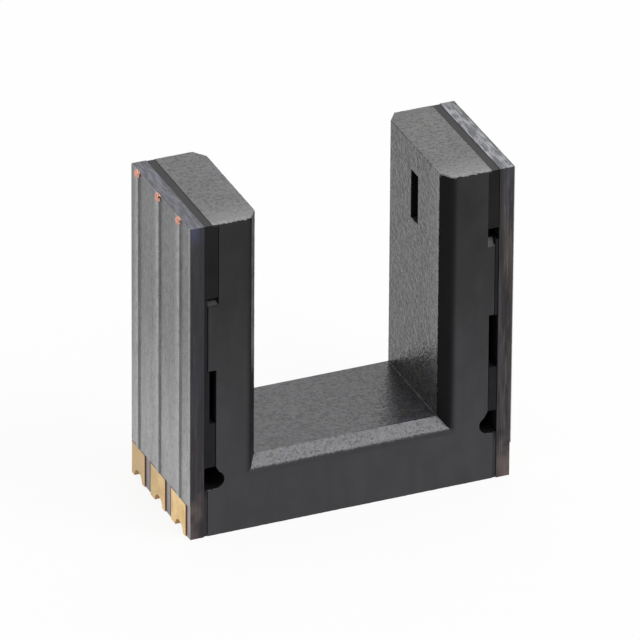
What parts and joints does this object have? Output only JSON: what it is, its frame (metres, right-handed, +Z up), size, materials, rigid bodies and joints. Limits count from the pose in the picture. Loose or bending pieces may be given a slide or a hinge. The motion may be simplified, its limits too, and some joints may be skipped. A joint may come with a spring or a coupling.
{
  "type": "slotted optical switch",
  "caption": "Surface-mount slotted optical switch: a moulded U housing holds an emitter board and a detector board that face each other across the sensing slot.",
  "frame": {"origin": "middle of the seating face under the housing, level with the lower edges of both boards", "axes": "+X across the slot from the emitter arm to the detector arm, +Y through the slot from front to back, +Z up out of the slot"},
  "size_m": [0.0088, 0.0038, 0.0088],
  "materials": {
    "housing_plastic": "fine matt grain, moulded black",
    "laminate": "woven glass epoxy, cut edges showing fibre",
    "solder_mask": "satin grey mask over raised traces",
    "plated_copper": "satin gold plate",
    "gold_wire": "bright drawn wire",
    "optical_resin": "dark smooth moulded resin",
    "adhesive": "dull black cured adhesive",
    "emitter_semiconductor": "polished",
    "detector_silicon": "polished"
  },
  "bodies": {
    "root": {"housing": "housing_plastic", "emitter_board": "laminate", "emitter_mask": "solder_mask", "emitter_terminal_front": "plated_copper", "emitter_terminal_middle": "plated_copper", "emitter_terminal_back": "plated_copper", "emitter_chip": "emitter_semiconductor", "emitter_wire_front": "gold_wire", "emitter_resin": "optical_resin", "emitter_bond": "adhesive", "detector_board": "laminate", "detector_mask": "solder_mask", "detector_terminal_front": "plated_copper", "detector_terminal_middle": "plated_copper", "detector_terminal_back": "plated_copper", "detector_chip": "detector_silicon", "detector_wire_front": "gold_wire", "detector_wire_back": "gold_wire", "detector_resin": "optical_resin", "detector_bond": "adhesive"}
  },
  "joints": []
}
